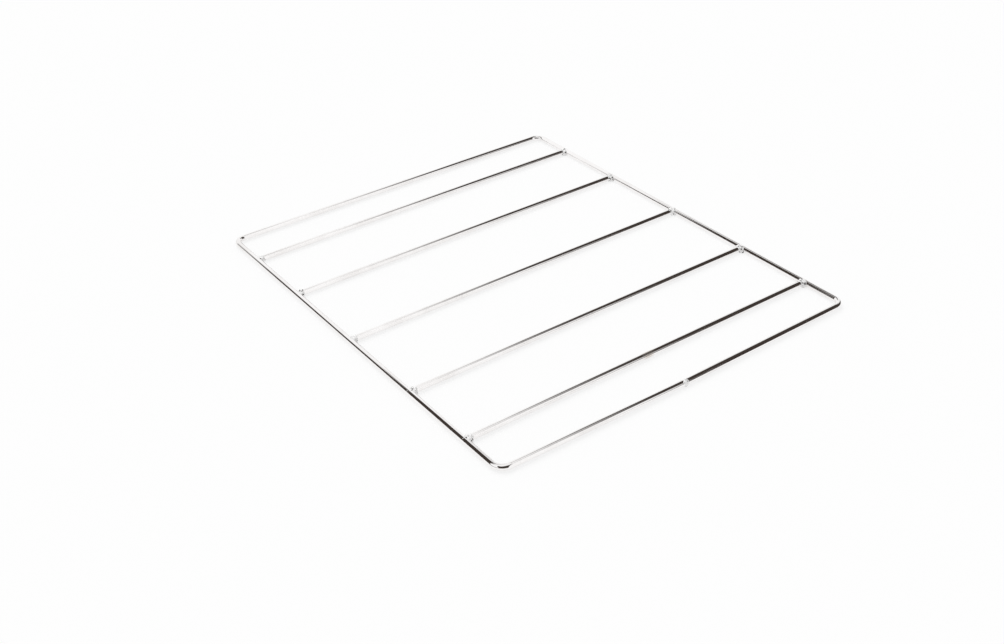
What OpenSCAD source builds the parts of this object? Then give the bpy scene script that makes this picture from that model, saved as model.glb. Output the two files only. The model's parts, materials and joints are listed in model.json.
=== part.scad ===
// Fryer basket support rack: a flat frame bent from one bright-plated wire and closed by a butt weld,
// with five cross wires cut square and welded between its sides.
// X runs along the cross wires, Y across them and Z up. The wires lie on Z = 0.
// The origin is under the middle of the rack's outside box.

/* [Wire] */
// Diameter of the frame wire and of the cross wires
wire_d = 4.9; // [3:0.1:8]
// Inside radius of the frame's four bends
bend_inner_r = 6.4; // [3:0.1:20]
// How much the wire swells at the end of each front bend, where it was bent a little further open
bend_swell = 0.03; // [0.02:0.01:0.1]

/* [Frame] */
// Outside width of the frame, along the cross wires
frame_w = 336.6; // [260:0.2:460]
// Outside length of the frame at its bends, across the cross wires
frame_l = 400; // [370:1:560]

/* [Cross wires] */
// From the middle cross wire to the next one on each side
inner_pitch = 85; // [50:0.5:95]
// From the outermost cross wire on each side to the side of the frame next to it
end_pitch = 42; // [30:0.5:60]
// How far the row of cross wires sits off the middle of the frame, toward the back if above 0
row_shift = -0.8; // [-3:0.1:3]
// Gap that weld metal fills between a cross wire's end and the frame wire
root_gap = 0.3; // [0.2:0.05:0.8]

/* [Cross wire welds] */
// How much the radius of a weld bead exceeds the radius of the wire
bead_wrap = 1.15; // [0.8:0.05:1.8]
// How far a weld bead stands above the wires
bead_crown = 0.4; // [0.2:0.05:0.8]
// How far a weld bead stays inside the outer side of the frame wire
bead_set_in = 0.35; // [0.2:0.05:0.8]
// Length of the straight middle of a weld bead, between its two round ends
bead_run = 2.8; // [1:0.1:6]

/* [Closing weld] */
// Place of the closing weld along the front side, from the middle of that side
seam_x = -3; // [-80:1:80]
// How far the closing weld has pushed the front side outward
seam_kick = 1.8; // [0:0.1:4]
// Gap between the two ends of the frame wire that weld metal fills
seam_gap = 1.2; // [0.6:0.1:2.4]
// How far the closing weld stands proud of the wire
seam_proud = 0.7; // [0.4:0.05:1.2]

/* [Underside] */
// How far weld metal stays above the underside of the wires
underside_clear = 0.2; // [0.1:0.05:0.5]

/* [Hidden] */
$fn = 48;
CROSS_COUNT = 5;

wire_r = wire_d / 2;
bend_r = bend_inner_r + wire_r;
half_w = frame_w / 2 - wire_r;
half_l = frame_l / 2 - wire_r;

// The closing weld reaches past the front side, so the rack's middle is moved back by half of that
seam_r = wire_r + seam_proud;
mid_y = (seam_kick + seam_r - wire_r) / 2;
front_y = mid_y - half_l;
back_y = mid_y + half_l;
seam_y = front_y - seam_kick;

// Centres of the bends, at plus and minus bend_x
bend_x = half_w - bend_r;
front_bend_y = front_y + bend_r;
back_bend_y = back_y - bend_r;

// Places of the cross wires along Y, the first one nearest the front side
outer_reach = half_l - end_pitch;
row_y = mid_y + row_shift;
cross_y = [for (offset = [-outer_reach, -inner_pitch, 0, inner_pitch, outer_reach]) row_y + offset];
cross_end = half_w - wire_r - root_gap;

bead_r = wire_r + bead_wrap;
bead_x = half_w + wire_r - bead_set_in - bead_r;
bead_z = wire_d + bead_crown - bead_r;
bead_l = bead_run + 2 * bead_r;

wire_color = "silver";
weld_color = "gainsboro";

// How far each half of the front side reaches along X from its bend, left (side -1) or right (side 1) of
// the closing weld, and the angle by which it is turned outward
function front_reach(side) = bend_x - side * seam_x;
function kick_angle(side) = atan2(seam_kick, front_reach(side));

// Everything in it is placed for the right half of the rack and mirrored for the left half
module on_side(side) {
    mirror([side < 0 ? 1 : 0, 0, 0])
        children();
}

// A length of straight wire along +Y
module wire_along_y(length) {
    rotate([-90, 0, 0])
        cylinder(d = wire_d, h = length);
}

// A square bend of the frame wire about the origin, from +X to +Y
module bend() {
    rotate_extrude(angle = 90)
        translate([bend_r, 0])
            circle(d = wire_d);
}

// The straight part of one lengthwise side
module long_side(side) {
    on_side(side)
        translate([half_w, front_bend_y, wire_r])
            wire_along_y(back_bend_y - front_bend_y);
}

// Puts its children where the front bend ends and its half of the front side starts
module at_front_end(side) {
    on_side(side)
        translate([bend_x, front_y, wire_r])
            children();
}

// One half of the front side, turned outward, up to the gap at the closing weld
module front_half(side) {
    length = norm([front_reach(side), seam_kick]) - seam_gap / 2;
    at_front_end(side)
        rotate(kick_angle(side))
            translate([-length, 0, 0])
                rotate(-90)
                    wire_along_y(length);
}

module front_bend(side) {
    on_side(side)
        translate([bend_x, front_bend_y, wire_r])
            rotate(-90)
                bend();
    at_front_end(side)
        rotate([0, 90, 0])
            sphere(r = wire_r + bend_swell);
}

module back_bend(side) {
    on_side(side)
        translate([bend_x, back_bend_y, wire_r])
            bend();
}

// The frame wire, bent from one length with its two ends at the closing weld
module frame_wire() {
    color(wire_color)
        union() {
            translate([bend_x, back_y, wire_r])
                rotate(90)
                    wire_along_y(2 * bend_x);
            for (side = [-1, 1]) {
                back_bend(side);
                long_side(side);
                front_bend(side);
                front_half(side);
            }
        }
}

// One cross wire, cut square at both ends
module cross_wire(i) {
    color(wire_color)
        translate([-cross_end, cross_y[i - 1], wire_r])
            rotate([0, 90, 0])
                cylinder(d = wire_d, h = 2 * cross_end);
}

// The room under the lowest weld metal, wide enough for any one bead
module below_welds() {
    side = 4 * bead_l;
    translate([-side / 2, -side / 2, underside_clear - side])
        cube(side);
}

// Weld metal as a round-ended bar that lies along the frame wire
module bead_blank() {
    rotate([90, 0, 0]) {
        cylinder(r = bead_r, h = bead_run, center = true);
        for (end = [-1, 1])
            translate([0, 0, end * bead_run / 2])
                sphere(r = bead_r);
    }
}

// Bead that joins one end of a cross wire to the frame: it fills the corner between the two wires
// and laps over the top of the frame wire, but not round its lower outside quarter
module cross_weld(i, side) {
    color(weld_color)
        difference() {
            on_side(side)
                translate([0, cross_y[i - 1], 0])
                    difference() {
                        translate([bead_x, 0, bead_z])
                            bead_blank();
                        translate([bead_x, 0, 0])
                            below_welds();
                        translate([half_w, -bead_l, wire_r - bead_l])
                            cube([bead_l, 2 * bead_l, bead_l]);
                    }
            long_side(side);
            cross_wire(i);
        }
}

// Ball of weld metal that joins the two ends of the frame wire
module closing_weld() {
    color(weld_color)
        difference() {
            translate([seam_x, seam_y, wire_r])
                sphere(r = seam_r);
            translate([seam_x, seam_y, 0])
                below_welds();
            front_half(-1);
            front_half(1);
        }
}

frame_wire();
closing_weld();
for (i = [1 : CROSS_COUNT]) {
    cross_wire(i);
    cross_weld(i, -1);
    cross_weld(i, 1);
}
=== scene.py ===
"""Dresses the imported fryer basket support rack: plated wires, uneven weld metal, and a white studio."""
import json
import math

import bpy
from bpy.props import FloatProperty, FloatVectorProperty, IntProperty, PointerProperty
from mathutils import Matrix, Vector

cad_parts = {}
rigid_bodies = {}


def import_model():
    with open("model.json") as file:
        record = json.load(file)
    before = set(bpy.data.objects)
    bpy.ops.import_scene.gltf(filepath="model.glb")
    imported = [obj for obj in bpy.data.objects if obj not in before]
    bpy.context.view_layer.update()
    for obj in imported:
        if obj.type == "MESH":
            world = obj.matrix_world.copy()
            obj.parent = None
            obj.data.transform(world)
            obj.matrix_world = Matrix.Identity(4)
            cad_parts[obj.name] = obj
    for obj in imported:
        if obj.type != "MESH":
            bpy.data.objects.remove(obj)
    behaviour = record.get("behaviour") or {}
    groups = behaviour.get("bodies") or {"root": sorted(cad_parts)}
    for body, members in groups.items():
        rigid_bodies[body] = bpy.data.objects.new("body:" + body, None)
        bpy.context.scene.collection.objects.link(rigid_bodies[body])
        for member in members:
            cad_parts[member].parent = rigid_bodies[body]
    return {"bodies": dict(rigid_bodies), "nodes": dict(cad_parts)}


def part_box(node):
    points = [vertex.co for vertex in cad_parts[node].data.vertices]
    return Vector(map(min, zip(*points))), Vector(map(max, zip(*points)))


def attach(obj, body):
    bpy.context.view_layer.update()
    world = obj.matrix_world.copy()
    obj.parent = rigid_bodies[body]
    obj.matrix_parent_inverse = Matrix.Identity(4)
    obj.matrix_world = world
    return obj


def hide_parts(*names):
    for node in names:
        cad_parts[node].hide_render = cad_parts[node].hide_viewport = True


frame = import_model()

bl_info = {
    "name": "Fryer basket support rack",
    "version": (1, 0, 0),
    "blender": (4, 5, 0),
    "location": "View3D > Sidebar > Rack",
    "description": "Plated finish, weld metal and studio of a wire rack",
    "category": "Object",
}

BODY = next(iter(frame["bodies"]))
MM = 0.001
CROSS_COUNT = sum(name.startswith("cross_wire_") for name in frame["nodes"])

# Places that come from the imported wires, in metres
FRAME_LOW, FRAME_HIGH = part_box("frame_wire")
CROSS_LOW, CROSS_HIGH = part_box("cross_wire_1")
WIRE_RADIUS = (CROSS_HIGH.z - CROSS_LOW.z) / 2
SIDE_X = FRAME_HIGH.x - WIRE_RADIUS
CLOSING_LOW, CLOSING_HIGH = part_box("closing_weld")

# White panels round the rack that only the metal mirrors. For each: name, distance, heading of its middle and
# half its width, lean of its sides, lowest and highest climb, lean of its top edge, softness of its side
# edges and of its ends. Distances in metres, headings and climbs in degrees, softness in radians.
PANELS = (
    ("back", 0.88, 66.3, 61.9, -0.34, 0.9, 35.1, 0.03, 0.10, 0.10),
    ("back_upper", 1.16, 95.8, 36.3, -0.18, 28.6, 52.1, -0.36, 0.054, 0.054),
    ("left", 4.14, -173.5, 27.1, -0.47, 9.1, 61.0, 0.46, 0.054, 0.054),
    ("right_front", 5.57, -78.2, 16.4, 0.36, -20.0, 53.0, 0.69, 0.071, 0.054),
)
# The overhead panel: its middle, half its width and length, and the softness of its edges, in metres
OVERHEAD_MIDDLE = (-0.077, -0.068, 0.981)
OVERHEAD_HALF = (0.527, 0.426)
OVERHEAD_SOFTNESS = 0.171

# Plating: shares of the noises that count as dull patches and as pits, how far the drawing lines are
# stretched along the wire, how rough and deep the pits are, and where the lines turn with the frame
PATCH_RANGE = (0.35, 0.72)
PIT_RANGE = (0.68, 0.80)
LINE_STRETCH = 0.02
PIT_ROUGHNESS = 0.12
PIT_DEPTH = 0.8
LINE_TURN = (SIDE_X - 8 * MM, SIDE_X - 3 * MM)

# Weld metal: shares of the cells that are specks and of the noise that lets them show, how rough and deep the
# specks are, how much less they mirror, and how rough the grit is
SPECK_EDGE = (0.31, 0.40)
SPECK_GROUP_RANGE = (0.44, 0.47)
SPECK_ROUGHNESS = 0.35
SPECK_DEPTH = 1.4
SPECK_DULLING = 0.15
GRIT_ROUGHNESS = 0.16

# Scales of the noises and cells in the materials, per metre
PATCH_SCALE = 38.0
LINE_SCALE = 2600.0
PIT_SCALE = 900.0
SPECK_SCALE = 500.0
SPECK_GROUP_SCALE = 260.0
SPECK_STIR_SCALE = 1100.0
GRIT_SCALE = 1500.0
SPECK_STIR = 1.1 * MM
# The welds of the right side carry more specks than those of the left side
MORE_SPECKS_RIGHT = 0.06
GRIT_DEPTH = 0.06 * MM
GRIT_STRENGTH = 0.8

# The faint stain: its place along the front cross wire, the radii where it starts to fade and ends, how much
# it covers the plating and how much less it mirrors
STAIN_X = -0.001
STAIN_RADII = (3 * MM, 7 * MM)
STAIN_COVER = 0.55
STAIN_DULLING = 0.2

# How much thinner the wire stubs inside a weld are than the wires, and how far they reach: past both ends of
# a cross weld, along the cross wire, and in all in the closing weld
STUB_PLAY = 0.05 * MM
STUB_PAST = 8 * MM
STUB_INWARD = 9 * MM
CLOSING_STUB = 9 * MM

# One cross weld: how far its puddles' middles lie below the wires' middles and stray to either side, their
# shape, and the place, swell and shape of its toe on the cross wire
PUDDLE_DROP = 0.65 * MM
PUDDLE_STRAY = 0.25 * MM
PUDDLE_SHAPE = (1.02, 0.92, 1.04)
TOE_PLACE = (-4.6 * MM, 0.15 * MM, 0.05 * MM)
TOE_SWELL = 0.3 * MM
TOE_SHAPE = (0.95, 1.0, 1.0)
# The room in which its surface is uneven, and where in that room the unevenness fades out
UNEVEN_SHIFT = 0.6 * MM
UNEVEN_WIDTH = 5.4 * MM
UNEVEN_HEIGHT = 4.0 * MM
BEAD_FADE = (0.72, 1.12)

# The closing weld: the shape of its ball, a ring of metal off its middle, a drop at its left, and where its
# unevenness fades out along the wire
BALL_SHAPE = (0.80, 0.97, 0.97)
RING_INSET = 0.5 * MM
RING_RADIUS = 0.55 * MM
RING_X = 0.35 * MM
RING_TILT = 0.1
DROP_RADIUS = 1.0 * MM
DROP_PLACE = (-1.5 * MM, -1.3 * MM, 1.5 * MM)
COLLAR_FADE = (1.9 * MM, 3.0 * MM)

# Sizes of the waves and the grit in the surface of the weld metal
WAVES = 2.2 * MM
GRIT = 0.8 * MM
GRIT_SHARE = 0.35

# The floor's size, and the width and direction of the soft light from behind
FLOOR_SIZE = 12
BACK_LIGHT_ANGLE = math.radians(50)
BACK_LIGHT_FROM = Vector((0.15, 0.75, 1.0))

# The camera's axes as fitted to the photo, and the photo's width in pixels
CAMERA_RIGHT = Vector((0.8102610, -0.5852582, -0.0308223))
CAMERA_DOWN = Vector((-0.3418427, -0.4292367, -0.8360021))
CAMERA_AHEAD = Vector((0.4760470, 0.6879162, -0.5478600))
SENSOR_WIDTH = 36
PHOTO_WIDTH = 1004


def cross_y(index):
    """The middle of a cross wire along Y."""
    low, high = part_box(f"cross_wire_{index}")
    return (low.y + high.y) / 2


class RackWireFinish(bpy.types.PropertyGroup):
    """Finish of the plated wires"""

    plating: FloatVectorProperty(
        name="Plating", description="Colour of the bright plating",
        subtype="COLOR", size=3, min=0, max=1, default=(0.95, 0.935, 0.93))
    plating_shade: FloatVectorProperty(
        name="Plating shade", description="Colour of the duller patches in the plating",
        subtype="COLOR", size=3, min=0, max=1, default=(0.88, 0.86, 0.85))
    stain: FloatVectorProperty(
        name="Stain", description="Colour of the faint stain on the front cross wire",
        subtype="COLOR", size=3, min=0, max=1, default=(0.62, 0.54, 0.47))
    polish: FloatProperty(
        name="Polish", description="Lowest roughness of the plating",
        subtype="FACTOR", min=0.01, max=0.4, default=0.045)
    dullness: FloatProperty(
        name="Dullness", description="How much rougher the duller patches are",
        subtype="FACTOR", min=0, max=0.4, default=0.07)
    grain_depth: FloatProperty(
        name="Grain depth", description="Depth of the drawing lines along the wire",
        subtype="DISTANCE", unit="LENGTH", min=0, max=0.0002, default=0.000006)


class RackWeldSettings(bpy.types.PropertyGroup):
    """Shape and finish of the weld metal"""

    metal: FloatVectorProperty(
        name="Weld metal", description="Colour of the plated weld metal",
        subtype="COLOR", size=3, min=0, max=1, default=(0.96, 0.955, 0.95))
    satin: FloatProperty(
        name="Satin", description="Lowest roughness of the weld metal",
        subtype="FACTOR", min=0.02, max=0.6, default=0.2)
    metal_share: FloatProperty(
        name="Metal share", description="How much of the weld metal mirrors; the rest is pale scale",
        subtype="FACTOR", min=0.05, max=1, default=0.2)
    pore: FloatVectorProperty(
        name="Pore", description="Colour of the pores and slag specks",
        subtype="COLOR", size=3, min=0, max=1, default=(0.045, 0.038, 0.034))
    puddles: IntProperty(
        name="Puddles", description="Overlapping puddles in one cross weld", min=2, max=9, default=4)
    bead_length: FloatProperty(
        name="Bead length", description="Length of a cross weld along the frame wire",
        subtype="DISTANCE", unit="LENGTH", min=0.005, max=0.016, default=0.0108)
    bead_radius: FloatProperty(
        name="Bead radius", description="Radius of one puddle",
        subtype="DISTANCE", unit="LENGTH", min=0.0026, max=0.0045, default=0.0036)
    bead_inset: FloatProperty(
        name="Bead inset", description="From the middle of the frame wire inward to the bead's middle",
        subtype="DISTANCE", unit="LENGTH", min=0, max=0.003, default=0.0016)
    left_inset: FloatProperty(
        name="Left bead inset", description="The same for the left side, whose beads lap less far over",
        subtype="DISTANCE", unit="LENGTH", min=0, max=0.003, default=0.0021)
    unevenness: FloatProperty(
        name="Unevenness", description="Height of the uneven surface of the weld metal",
        subtype="DISTANCE", unit="LENGTH", min=0, max=0.001, default=0.00045)
    voxel: FloatProperty(
        name="Mesh step", description="Size of the steps in which the weld metal is meshed",
        subtype="DISTANCE", unit="LENGTH", min=0.0001, max=0.001, default=0.00022)
    underside: FloatProperty(
        name="Underside", description="Height of the lowest weld metal above the floor",
        subtype="DISTANCE", unit="LENGTH", min=0, max=0.001, default=0.0002)


class RackStageSettings(bpy.types.PropertyGroup):
    """Studio and camera"""

    floor: FloatVectorProperty(
        name="Floor", description="Colour of the floor",
        subtype="COLOR", size=3, min=0, max=1, default=(0.96, 0.96, 0.96))
    paleness: FloatProperty(
        name="Paleness", description="Share of plain white in the floor, which makes its shadows fainter",
        subtype="FACTOR", min=0, max=1, default=0.75)
    surround: FloatVectorProperty(
        name="Dark surround", description="What the bright metal mirrors where no panel stands",
        subtype="COLOR", size=3, min=0, max=1, default=(0.048, 0.038, 0.033))
    focal_length: FloatProperty(
        name="Focal length", description="Focal length of the camera on a 36 mm wide sensor, in millimetres",
        min=10, max=200, default=46.695)
    room: FloatProperty(
        name="Room light", description="Strength of the even light from all sides",
        min=0, max=4, default=0.66)
    back_light: FloatProperty(
        name="Back light", description="Strength of the soft light from behind",
        min=0, max=10, default=1.33)
    camera_place: FloatVectorProperty(
        name="Camera place", description="Where the camera stands",
        subtype="TRANSLATION", unit="LENGTH", size=3, default=(-0.54175, -0.74898, 0.55749))


def new_material(name):
    """A new material and its Principled shader."""
    material = bpy.data.materials.new(name)
    material.use_nodes = True
    nodes = material.node_tree.nodes
    nodes.clear()
    shader = nodes.new("ShaderNodeBsdfPrincipled")
    output = nodes.new("ShaderNodeOutputMaterial")
    material.node_tree.links.new(shader.outputs["BSDF"], output.inputs["Surface"])
    return material, shader


def new_group(name, inputs, outputs):
    """A shader node group with these sockets, as (name, kind, default)."""
    group = bpy.data.node_groups.new(name, "ShaderNodeTree")
    for socket, kind, value in inputs:
        made = group.interface.new_socket(name=socket, in_out="INPUT", socket_type=kind)
        if value is not None:
            made.default_value = value
    for socket, kind in outputs:
        group.interface.new_socket(name=socket, in_out="OUTPUT", socket_type=kind)
    return group, group.nodes.new("NodeGroupInput"), group.nodes.new("NodeGroupOutput")


def maths(tree, operation, first, second=None, clamp=False):
    """A Math node whose inputs are sockets or numbers. Returns its output."""
    node = tree.nodes.new("ShaderNodeMath")
    node.operation = operation
    node.use_clamp = clamp
    for slot, value in enumerate((first, second)):
        if isinstance(value, bpy.types.NodeSocket):
            tree.links.new(value, node.inputs[slot])
        elif value is not None:
            node.inputs[slot].default_value = value
    return node.outputs[0]


def noise(tree, vector, scale, detail=2.0, roughness=0.5):
    """A Noise Texture on a vector. Returns its factor."""
    node = tree.nodes.new("ShaderNodeTexNoise")
    node.inputs["Scale"].default_value = scale
    node.inputs["Detail"].default_value = detail
    node.inputs["Roughness"].default_value = roughness
    tree.links.new(vector, node.inputs["Vector"])
    return node.outputs["Fac"]


def spread(tree, value, low, high, to_low=0.0, to_high=1.0):
    """Maps low..high of a value smoothly to to_low..to_high."""
    node = tree.nodes.new("ShaderNodeMapRange")
    node.interpolation_type = "SMOOTHSTEP"
    for name, number in (("From Min", low), ("From Max", high), ("To Min", to_low), ("To Max", to_high)):
        node.inputs[name].default_value = number
    tree.links.new(value, node.inputs["Value"])
    return node.outputs["Result"]


def mixed(tree, share, first, second):
    """Mixes two colours, each a socket or a colour, by a share."""
    node = tree.nodes.new("ShaderNodeMix")
    node.data_type = "RGBA"
    tree.links.new(share, node.inputs["Factor"])
    colour_inputs = [s for s in node.inputs if s.type == "RGBA"]
    for socket, value in zip(colour_inputs, (first, second)):
        if isinstance(value, bpy.types.NodeSocket):
            tree.links.new(value, socket)
        else:
            socket.default_value = (*value, 1.0)
    return next(s for s in node.outputs if s.type == "RGBA")


def scaled(tree, vector, scale):
    """Scales a vector along its axes."""
    node = tree.nodes.new("ShaderNodeMapping")
    node.inputs["Scale"].default_value = scale
    tree.links.new(vector, node.inputs["Vector"])
    return node.outputs["Vector"]


def stirred(tree, vector, scale, amount):
    """Moves a vector about by up to the amount, so that round shapes turn uneven."""
    node = tree.nodes.new("ShaderNodeTexNoise")
    node.inputs["Scale"].default_value = scale
    tree.links.new(vector, node.inputs["Vector"])
    move = tree.nodes.new("ShaderNodeVectorMath")
    move.operation = "MULTIPLY_ADD"
    tree.links.new(node.outputs["Color"], move.inputs[0])
    move.inputs[1].default_value = (amount, amount, amount)
    tree.links.new(vector, move.inputs[2])
    return move.outputs["Vector"]


def plating_group():
    """Cloudy patches, fine pits and drawing lines of bright plating, built once."""
    name = "plating_surface"
    if name in bpy.data.node_groups:
        return bpy.data.node_groups[name]
    tree, start, end = new_group(
        name,
        [("Vector", "NodeSocketVector", None), ("Lines along Y", "NodeSocketFloat", 0.0)],
        [("Patches", "NodeSocketFloat"), ("Lines", "NodeSocketFloat"), ("Pits", "NodeSocketFloat")])
    vector = start.outputs["Vector"]
    patches = spread(tree, noise(tree, vector, PATCH_SCALE, 4.0, 0.6), *PATCH_RANGE)
    lines_x = noise(tree, scaled(tree, vector, (LINE_STRETCH, 1.0, 1.0)), LINE_SCALE, 2.0, 0.6)
    lines_y = noise(tree, scaled(tree, vector, (1.0, LINE_STRETCH, 1.0)), LINE_SCALE, 2.0, 0.6)
    share = start.outputs["Lines along Y"]
    lines = maths(
        tree, "ADD",
        maths(tree, "MULTIPLY", lines_y, share),
        maths(tree, "MULTIPLY", lines_x, maths(tree, "SUBTRACT", 1.0, share)))
    pits = spread(tree, noise(tree, vector, PIT_SCALE, 3.0, 0.7), *PIT_RANGE)
    tree.links.new(patches, end.inputs["Patches"])
    tree.links.new(lines, end.inputs["Lines"])
    tree.links.new(pits, end.inputs["Pits"])
    return tree


def object_vector(tree):
    """The piece's own coordinates."""
    return tree.nodes.new("ShaderNodeTexCoord").outputs["Object"]


def bump(tree, height, distance, strength=1.0):
    """A Bump node on a height. Returns its normal."""
    node = tree.nodes.new("ShaderNodeBump")
    node.inputs["Distance"].default_value = distance
    node.inputs["Strength"].default_value = strength
    tree.links.new(height, node.inputs["Height"])
    return node.outputs["Normal"]


def plated_wire_material(name, lines_along_y=False, corners=False, stain_at=None):
    """Bright plated wire. corners: the drawing lines turn with the frame at its bends."""
    finish = bpy.context.scene.rack_wire
    material, shader = new_material(name)
    tree = material.node_tree
    vector = object_vector(tree)
    group = tree.nodes.new("ShaderNodeGroup")
    group.node_tree = plating_group()
    tree.links.new(vector, group.inputs["Vector"])
    if corners:
        parts = tree.nodes.new("ShaderNodeSeparateXYZ")
        tree.links.new(vector, parts.inputs["Vector"])
        reach = maths(tree, "ABSOLUTE", parts.outputs["X"])
        along = spread(tree, reach, *LINE_TURN)
        tree.links.new(along, group.inputs["Lines along Y"])
    else:
        group.inputs["Lines along Y"].default_value = 1.0 if lines_along_y else 0.0
    patches, lines, pits = (group.outputs[n] for n in ("Patches", "Lines", "Pits"))
    colour = mixed(tree, patches, tuple(finish.plating), tuple(finish.plating_shade))
    if stain_at is not None:
        away = tree.nodes.new("ShaderNodeVectorMath")
        away.operation = "DISTANCE"
        tree.links.new(vector, away.inputs[0])
        away.inputs[1].default_value = stain_at
        blot = spread(tree, away.outputs["Value"], *STAIN_RADII, STAIN_COVER, 0.0)
        colour = mixed(tree, blot, colour, tuple(finish.stain))
        metal = maths(tree, "SUBTRACT", 1.0, maths(tree, "MULTIPLY", blot, STAIN_DULLING))
        tree.links.new(metal, shader.inputs["Metallic"])
    else:
        shader.inputs["Metallic"].default_value = 1.0
    tree.links.new(colour, shader.inputs["Base Color"])
    rough = maths(
        tree, "ADD",
        maths(tree, "MULTIPLY", patches, finish.dullness),
        maths(tree, "MULTIPLY", pits, PIT_ROUGHNESS))
    tree.links.new(maths(tree, "ADD", rough, finish.polish, clamp=True), shader.inputs["Roughness"])
    height = maths(tree, "SUBTRACT", lines, maths(tree, "MULTIPLY", pits, PIT_DEPTH))
    tree.links.new(bump(tree, height, finish.grain_depth), shader.inputs["Normal"])
    return material


def weld_material():
    """Pale weld metal with fine grit, small pores and slag specks."""
    name = "plated_weld_metal"
    if name in bpy.data.materials:
        return bpy.data.materials[name]
    weld = bpy.context.scene.rack_weld
    material, shader = new_material(name)
    tree = material.node_tree
    vector = object_vector(tree)
    cells = tree.nodes.new("ShaderNodeTexVoronoi")
    cells.feature = "F1"
    cells.inputs["Scale"].default_value = SPECK_SCALE
    tree.links.new(stirred(tree, vector, SPECK_STIR_SCALE, SPECK_STIR), cells.inputs["Vector"])
    parts = tree.nodes.new("ShaderNodeSeparateXYZ")
    tree.links.new(vector, parts.inputs["Vector"])
    more = spread(tree, parts.outputs["X"], -SIDE_X / 2, SIDE_X / 2, 0.0, MORE_SPECKS_RIGHT)
    crowd = maths(tree, "ADD", noise(tree, vector, SPECK_GROUP_SCALE), more)
    specks = maths(
        tree, "MULTIPLY",
        spread(tree, cells.outputs["Distance"], *SPECK_EDGE, 1.0, 0.0),
        spread(tree, crowd, *SPECK_GROUP_RANGE))
    colour = mixed(tree, specks, tuple(weld.metal), tuple(weld.pore))
    tree.links.new(colour, shader.inputs["Base Color"])
    grit = noise(tree, vector, GRIT_SCALE, 3.0, 0.6)
    rough = maths(
        tree, "ADD",
        maths(tree, "MULTIPLY", specks, SPECK_ROUGHNESS),
        maths(tree, "MULTIPLY", grit, GRIT_ROUGHNESS))
    tree.links.new(maths(tree, "ADD", rough, weld.satin, clamp=True), shader.inputs["Roughness"])
    height = maths(tree, "SUBTRACT", grit, maths(tree, "MULTIPLY", specks, SPECK_DEPTH))
    tree.links.new(bump(tree, height, GRIT_DEPTH, GRIT_STRENGTH), shader.inputs["Normal"])
    metal = maths(tree, "SUBTRACT", weld.metal_share, maths(tree, "MULTIPLY", specks, SPECK_DULLING))
    tree.links.new(metal, shader.inputs["Metallic"])
    return material


def deselect():
    """Leaves edit mode and selects nothing."""
    if bpy.context.object and bpy.context.object.mode != "OBJECT":
        bpy.ops.object.mode_set(mode="OBJECT")
    bpy.ops.object.select_all(action="DESELECT")


def make_active(piece):
    """Selects this piece alone."""
    deselect()
    piece.select_set(True)
    bpy.context.view_layer.objects.active = piece


def apply_modifier(piece, kind, **settings):
    """Adds a modifier with these settings and applies it."""
    make_active(piece)
    modifier = piece.modifiers.new(kind.lower(), kind)
    for name, value in settings.items():
        setattr(modifier, name, value)
    bpy.ops.object.modifier_apply(modifier=modifier.name)


def place_in_mesh(piece, matrix):
    """Moves the mesh by a matrix and leaves the object at the origin."""
    piece.data.transform(matrix)
    piece.matrix_world = Matrix.Identity(4)
    piece.data.update()


def cut_below(piece, height):
    """Cuts the piece off flat below a height and closes it."""
    make_active(piece)
    bpy.ops.object.mode_set(mode="EDIT")
    bpy.ops.mesh.select_all(action="SELECT")
    bpy.ops.mesh.bisect(
        plane_co=(0, 0, height), plane_no=(0, 0, 1), use_fill=True, clear_inner=True, clear_outer=False)
    bpy.ops.object.mode_set(mode="OBJECT")


def weight_near(piece, name, inside):
    """A vertex group whose weight at each corner is inside(corner)."""
    group = piece.vertex_groups.new(name=name)
    for vertex in piece.data.vertices:
        group.add([vertex.index], inside(vertex.co), "REPLACE")
    return group.name


def smooth_step(value, low, high):
    """Rises smoothly from 0 at low to 1 at high."""
    share = min(1.0, max(0.0, (value - low) / (high - low)))
    return share * share * (3 - 2 * share)


def clouds(name, size):
    """A noise texture for displacing, with lumps of this size."""
    texture = bpy.data.textures.get(name) or bpy.data.textures.new(name, "CLOUDS")
    texture.noise_scale = size
    return texture


def melt(piece, weld, iterations):
    """Joins the overlapping parts of a weld into one surface and rounds it."""
    apply_modifier(piece, "REMESH", mode="VOXEL", voxel_size=weld.voxel)
    apply_modifier(piece, "SMOOTH", factor=0.5, iterations=iterations)


def turn_faces(piece):
    """Turns all faces over, which a mirrored mesh needs."""
    make_active(piece)
    bpy.ops.object.mode_set(mode="EDIT")
    bpy.ops.mesh.select_all(action="SELECT")
    bpy.ops.mesh.flip_normals()
    bpy.ops.object.mode_set(mode="OBJECT")


def roughen(piece, weld, group, waves):
    """Makes the weighted part of a weld uneven, by waves of this share of the full height and by grit."""
    for name, size, share in (("weld_waves", WAVES, waves), ("weld_grit", GRIT, GRIT_SHARE)):
        apply_modifier(
            piece, "DISPLACE", texture=clouds(name, size), texture_coords="GLOBAL",
            strength=weld.unevenness * share, mid_level=0.5, vertex_group=group)


def finish_weld(piece, node):
    """Shades a weld smooth, gives it its material, and lets it stand for its solid."""
    make_active(piece)
    bpy.ops.object.shade_smooth()
    piece.data.materials.clear()
    piece.data.materials.append(weld_material())
    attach(piece, BODY)
    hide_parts(node)


class RACK_OT_frame_wire(bpy.types.Operator):
    """Plate the frame wire"""

    bl_idname = "rack.frame_wire"
    bl_label = "Frame wire"

    def execute(self, context):
        wire = frame["nodes"]["frame_wire"]
        material = plated_wire_material("plated_frame_wire", corners=True)
        for slot in wire.material_slots:
            slot.material = material
        return {"FINISHED"}


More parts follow.
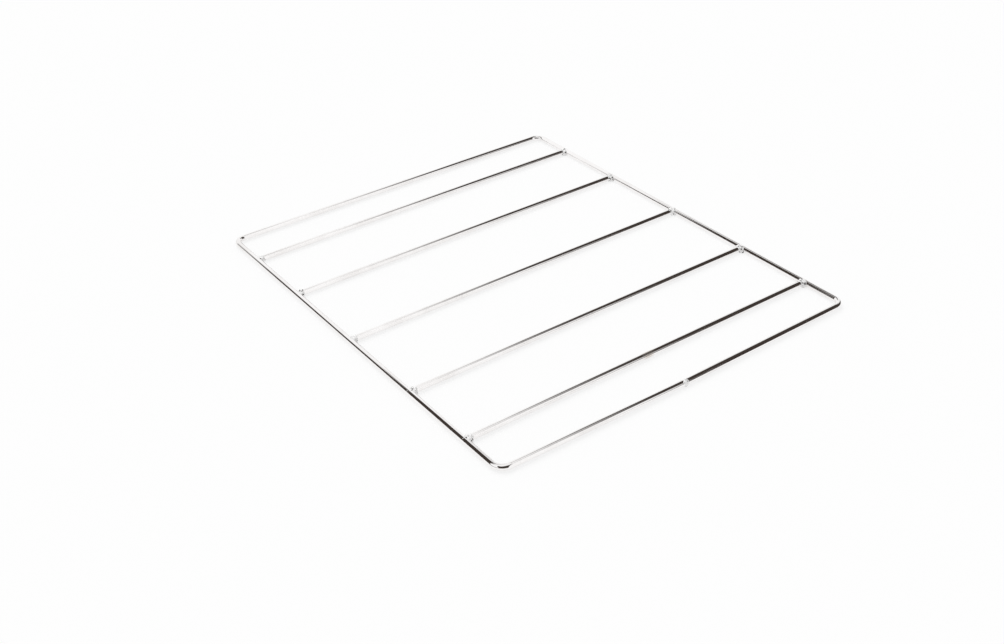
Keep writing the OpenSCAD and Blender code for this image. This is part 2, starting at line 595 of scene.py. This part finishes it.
class RACK_OT_cross_wires(bpy.types.Operator):
    """Plate the cross wires, the front one with its faint stain"""

    bl_idname = "rack.cross_wires"
    bl_label = "Cross wires"

    def execute(self, context):
        plain = plated_wire_material("plated_cross_wire")
        stain_at = (STAIN_X, cross_y(1), 2 * WIRE_RADIUS)
        stained = plated_wire_material("plated_cross_wire_stained", stain_at=stain_at)
        for index in range(1, CROSS_COUNT + 1):
            wire = frame["nodes"][f"cross_wire_{index}"]
            for slot in wire.material_slots:
                slot.material = stained if index == 1 else plain
        return {"FINISHED"}


class RACK_OT_cross_welds(bpy.types.Operator):
    """Model one uneven weld bead and copy it to both ends of every cross wire"""

    bl_idname = "rack.cross_welds"
    bl_label = "Cross welds"

    def pattern(self, weld, inset):
        """A bead of the right side, about the point where the two wires' middles meet."""
        deselect()
        stub = WIRE_RADIUS - STUB_PLAY
        bpy.ops.mesh.primitive_cylinder_add(
            vertices=48, radius=stub, depth=weld.bead_length + STUB_PAST, rotation=(math.pi / 2, 0, 0))
        piece = bpy.context.object
        piece.name = "bead_pattern"
        bpy.ops.object.transform_apply(location=True, rotation=True, scale=True)
        bpy.ops.object.mode_set(mode="EDIT")
        bpy.ops.mesh.primitive_cylinder_add(
            vertices=48, radius=stub, depth=STUB_INWARD, location=(-STUB_INWARD / 2, 0, 0),
            rotation=(0, math.pi / 2, 0))
        run = weld.bead_length - 2 * weld.bead_radius
        for index in range(weld.puddles):
            share = index / (weld.puddles - 1) - 0.5
            # The puddles in the middle are the fattest, and neighbours differ a little
            swell = 1 - 0.16 * abs(share) * 2 + 0.04 * (-1) ** index
            bpy.ops.mesh.primitive_uv_sphere_add(
                segments=32, ring_count=20, radius=weld.bead_radius * swell,
                location=(-inset - PUDDLE_STRAY * (-1) ** index, share * run, -PUDDLE_DROP),
                scale=PUDDLE_SHAPE)
        bpy.ops.mesh.primitive_uv_sphere_add(
            segments=32, ring_count=20, radius=WIRE_RADIUS + TOE_SWELL,
            location=TOE_PLACE, scale=TOE_SHAPE)
        bpy.ops.object.mode_set(mode="OBJECT")
        melt(piece, weld, 14)
        return piece

    def execute(self, context):
        weld = context.scene.rack_weld
        reach = weld.bead_length / 2
        for side, word, inset in ((-1, "left", weld.left_inset), (1, "right", weld.bead_inset)):
            pattern = self.pattern(weld, inset)
            for index in range(1, CROSS_COUNT + 1):
                node = f"{word}_weld_{index}"
                piece = pattern.copy()
                piece.data = pattern.data.copy()
                piece.name = f"{word}_bead_{index}"
                context.scene.collection.objects.link(piece)
                centre = Vector((side * SIDE_X, cross_y(index), WIRE_RADIUS))
                place_in_mesh(piece, Matrix.Translation(centre) @ Matrix.Diagonal((side, 1, 1, 1)))
                if side < 0:
                    turn_faces(piece)
                middle = centre - Vector((side * (inset + UNEVEN_SHIFT), 0, 0))

                def on_bead(corner):
                    away = corner - middle
                    size = Vector((away.x / UNEVEN_WIDTH, away.y / reach, away.z / UNEVEN_HEIGHT)).length
                    return 1 - smooth_step(size, *BEAD_FADE)

                group = weight_near(piece, "bead", on_bead)
                roughen(piece, weld, group, 1.0)
                cut_below(piece, weld.underside)
                finish_weld(piece, node)
            bpy.data.objects.remove(pattern)
        return {"FINISHED"}


class RACK_OT_closing_weld(bpy.types.Operator):
    """Model the uneven collar that joins the two ends of the frame wire"""

    bl_idname = "rack.closing_weld"
    bl_label = "Closing weld"

    def execute(self, context):
        weld = context.scene.rack_weld
        centre = (CLOSING_LOW + CLOSING_HIGH) / 2
        radius = (CLOSING_HIGH.y - CLOSING_LOW.y) / 2
        centre.z = WIRE_RADIUS
        deselect()
        bpy.ops.mesh.primitive_cylinder_add(
            vertices=48, radius=WIRE_RADIUS - STUB_PLAY, depth=CLOSING_STUB, rotation=(0, math.pi / 2, 0))
        piece = bpy.context.object
        piece.name = "closing_collar"
        bpy.ops.object.transform_apply(location=True, rotation=True, scale=True)
        bpy.ops.object.mode_set(mode="EDIT")
        bpy.ops.mesh.primitive_uv_sphere_add(
            segments=40, ring_count=24, radius=radius, scale=BALL_SHAPE)
        bpy.ops.mesh.primitive_torus_add(
            major_radius=radius - RING_INSET, minor_radius=RING_RADIUS, major_segments=48,
            minor_segments=12, location=(RING_X, 0, 0), rotation=(0, math.pi / 2, RING_TILT))
        bpy.ops.mesh.primitive_uv_sphere_add(
            segments=24, ring_count=16, radius=DROP_RADIUS, location=DROP_PLACE)
        bpy.ops.object.mode_set(mode="OBJECT")
        melt(piece, weld, 8)
        place_in_mesh(piece, Matrix.Translation(centre))

        def on_collar(corner):
            return 1 - smooth_step(abs(corner.x - centre.x), *COLLAR_FADE)

        group = weight_near(piece, "collar", on_collar)
        roughen(piece, weld, group, 0.9)
        cut_below(piece, weld.underside)
        finish_weld(piece, "closing_weld")
        return {"FINISHED"}


class RACK_OT_stage(bpy.types.Operator):
    """Set up the floor, the mirrored panels, light and camera"""

    bl_idname = "rack.stage"
    bl_label = "Stage"

    def floor(self, stage):
        deselect()
        bpy.ops.mesh.primitive_plane_add(size=FLOOR_SIZE)
        piece = bpy.context.object
        piece.name = "floor"
        material, shader = new_material("white_floor")
        tree = material.node_tree
        shader.inputs["Base Color"].default_value = (*stage.floor, 1)
        shader.inputs["Roughness"].default_value = 1.0
        shader.inputs["Specular IOR Level"].default_value = 0.0
        white = tree.nodes.new("ShaderNodeEmission")
        path = tree.nodes.new("ShaderNodeLightPath")
        seen = maths(tree, "MAXIMUM", path.outputs["Is Camera Ray"], path.outputs["Is Glossy Ray"])
        blend = tree.nodes.new("ShaderNodeMixShader")
        tree.links.new(maths(tree, "MULTIPLY", seen, stage.paleness), blend.inputs["Fac"])
        tree.links.new(shader.outputs["BSDF"], blend.inputs[1])
        tree.links.new(white.outputs[0], blend.inputs[2])
        output = next(n for n in tree.nodes if n.bl_idname == "ShaderNodeOutputMaterial")
        tree.links.new(blend.outputs[0], output.inputs["Surface"])
        piece.data.materials.append(material)

    def mirrored(self, piece, share_of):
        """Makes the piece glow white where share_of(tree, position) is 1 and leaves it clear where that is 0.
        Only the bright metal sees it."""
        material = bpy.data.materials.new(piece.name)
        material.use_nodes = True
        tree = material.node_tree
        tree.nodes.clear()
        parts = tree.nodes.new("ShaderNodeSeparateXYZ")
        tree.links.new(object_vector(tree), parts.inputs["Vector"])
        clear = tree.nodes.new("ShaderNodeBsdfTransparent")
        white = tree.nodes.new("ShaderNodeEmission")
        blend = tree.nodes.new("ShaderNodeMixShader")
        output = tree.nodes.new("ShaderNodeOutputMaterial")
        tree.links.new(share_of(tree, *(parts.outputs[axis] for axis in "XYZ")), blend.inputs["Fac"])
        tree.links.new(clear.outputs[0], blend.inputs[1])
        tree.links.new(white.outputs[0], blend.inputs[2])
        tree.links.new(blend.outputs[0], output.inputs["Surface"])
        piece.data.materials.append(material)
        piece.visible_camera = False
        piece.visible_diffuse = False
        piece.visible_shadow = False

    def panel(self, name, distance, middle, half, lean, low, high, top_lean, side_soft, end_soft):
        """One panel, as a patch of a dome about the rack."""
        middle, half, low, high = (math.radians(angle) for angle in (middle, half, low, high))
        deselect()
        bpy.ops.mesh.primitive_uv_sphere_add(segments=96, ring_count=48, radius=distance)
        piece = bpy.context.object
        piece.name = f"{name}_panel"

        def share(tree, x, y, z):
            heading = maths(tree, "ARCTAN2", y, x)
            ground = maths(tree, "SQRT", maths(
                tree, "ADD", maths(tree, "MULTIPLY", x, x), maths(tree, "MULTIPLY", y, y)))
            climb = maths(tree, "ARCTAN2", z, ground)
            leaning = maths(tree, "ADD", maths(tree, "MULTIPLY", climb, lean), middle)
            wrap = tree.nodes.new("ShaderNodeMath")
            wrap.operation = "WRAP"
            tree.links.new(maths(tree, "SUBTRACT", heading, leaning), wrap.inputs[0])
            wrap.inputs[1].default_value = math.pi
            wrap.inputs[2].default_value = -math.pi
            aside = wrap.outputs[0]
            beside = spread(
                tree, maths(tree, "ABSOLUTE", aside), half - side_soft, half + side_soft, 1.0, 0.0)
            over = spread(tree, climb, low - end_soft, low + end_soft)
            top = maths(tree, "SUBTRACT", climb, maths(tree, "MULTIPLY", aside, top_lean))
            under = spread(tree, top, high - end_soft, high + end_soft, 1.0, 0.0)
            return maths(tree, "MULTIPLY", beside, maths(tree, "MULTIPLY", over, under))

        self.mirrored(piece, share)

    def overhead(self):
        deselect()
        bpy.ops.mesh.primitive_plane_add(size=4, location=OVERHEAD_MIDDLE)
        piece = bpy.context.object
        piece.name = "overhead_panel"

        def share(tree, x, y, z):
            inside = [
                spread(
                    tree, maths(tree, "ABSOLUTE", along),
                    half - OVERHEAD_SOFTNESS, half + OVERHEAD_SOFTNESS, 1.0, 0.0)
                for along, half in zip((x, y), OVERHEAD_HALF)]
            return maths(tree, "MULTIPLY", *inside)

        self.mirrored(piece, share)

    def world(self, stage):
        world = bpy.data.worlds.new("studio")
        bpy.context.scene.world = world
        world.use_nodes = True
        tree = world.node_tree
        tree.nodes.clear()
        path = tree.nodes.new("ShaderNodeLightPath")
        room = tree.nodes.new("ShaderNodeBackground")
        room.inputs["Color"].default_value = (1, 1, 1, 1)
        room.inputs["Strength"].default_value = stage.room
        dark = tree.nodes.new("ShaderNodeBackground")
        dark.inputs["Color"].default_value = (*stage.surround, 1)
        white = tree.nodes.new("ShaderNodeBackground")
        white.inputs["Color"].default_value = (1, 1, 1, 1)
        mirror = tree.nodes.new("ShaderNodeMixShader")
        view = tree.nodes.new("ShaderNodeMixShader")
        output = tree.nodes.new("ShaderNodeOutputWorld")
        tree.links.new(path.outputs["Is Glossy Ray"], mirror.inputs["Fac"])
        tree.links.new(room.outputs[0], mirror.inputs[1])
        tree.links.new(dark.outputs[0], mirror.inputs[2])
        tree.links.new(path.outputs["Is Camera Ray"], view.inputs["Fac"])
        tree.links.new(mirror.outputs[0], view.inputs[1])
        tree.links.new(white.outputs[0], view.inputs[2])
        tree.links.new(view.outputs[0], output.inputs["Surface"])

    def sun(self, stage):
        light = bpy.data.lights.new("back_light", "SUN")
        light.energy = stage.back_light
        light.angle = BACK_LIGHT_ANGLE
        lamp = bpy.data.objects.new("back_light", light)
        bpy.context.scene.collection.objects.link(lamp)
        lamp.rotation_mode = "QUATERNION"
        lamp.rotation_quaternion = BACK_LIGHT_FROM.to_track_quat("Z", "Y")
        lamp.visible_glossy = False

    def camera(self, stage):
        data = bpy.data.cameras.new("camera")
        data.sensor_fit = "HORIZONTAL"
        data.sensor_width = SENSOR_WIDTH
        data.lens = stage.focal_length
        data.clip_start, data.clip_end = 0.01, 50
        piece = bpy.data.objects.new("camera", data)
        bpy.context.scene.collection.objects.link(piece)
        # The fit counts pixels by their middles, the camera by their corners
        half_pixel = 0.5 / (stage.focal_length / SENSOR_WIDTH * PHOTO_WIDTH)
        ahead = (CAMERA_AHEAD - half_pixel * (CAMERA_RIGHT + CAMERA_DOWN)).normalized()
        down = (CAMERA_DOWN - CAMERA_DOWN.dot(ahead) * ahead).normalized()
        right = down.cross(ahead)
        turn = Matrix((right, -down, -ahead)).transposed().to_4x4()
        piece.matrix_world = Matrix.Translation(Vector(stage.camera_place)) @ turn
        bpy.context.scene.camera = piece

    def execute(self, context):
        stage = context.scene.rack_stage
        self.floor(stage)
        self.world(stage)
        self.sun(stage)
        for panel in PANELS:
            self.panel(*panel)
        self.overhead()
        self.camera(stage)
        context.scene.view_settings.view_transform = "Standard"
        return {"FINISHED"}


OPERATORS = (
    RACK_OT_stage,
    RACK_OT_frame_wire,
    RACK_OT_cross_wires,
    RACK_OT_cross_welds,
    RACK_OT_closing_weld,
)


class RACK_PT_panel(bpy.types.Panel):
    """Sizes, colours and steps of the rack"""

    bl_label = "Support rack"
    bl_idname = "RACK_PT_panel"
    bl_space_type = "VIEW_3D"
    bl_region_type = "UI"
    bl_category = "Rack"

    def draw(self, context):
        for settings in (context.scene.rack_wire, context.scene.rack_weld, context.scene.rack_stage):
            box = self.layout.box()
            for name in settings.bl_rna.properties.keys():
                if name not in ("rna_type", "name"):
                    box.prop(settings, name)
        for operator in OPERATORS:
            self.layout.operator(operator.bl_idname)


CLASSES = (RackWireFinish, RackWeldSettings, RackStageSettings, *OPERATORS, RACK_PT_panel)


def register():
    for cls in CLASSES:
        bpy.utils.register_class(cls)
    bpy.types.Scene.rack_wire = PointerProperty(type=RackWireFinish)
    bpy.types.Scene.rack_weld = PointerProperty(type=RackWeldSettings)
    bpy.types.Scene.rack_stage = PointerProperty(type=RackStageSettings)


def unregister():
    for name in ("rack_wire", "rack_weld", "rack_stage"):
        delattr(bpy.types.Scene, name)
    for cls in reversed(CLASSES):
        bpy.utils.unregister_class(cls)


def main():
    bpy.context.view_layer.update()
    register()
    bpy.ops.rack.stage()
    bpy.ops.rack.frame_wire()
    bpy.ops.rack.cross_wires()
    bpy.ops.rack.cross_welds()
    bpy.ops.rack.closing_weld()


if __name__ == "__main__":
    main()
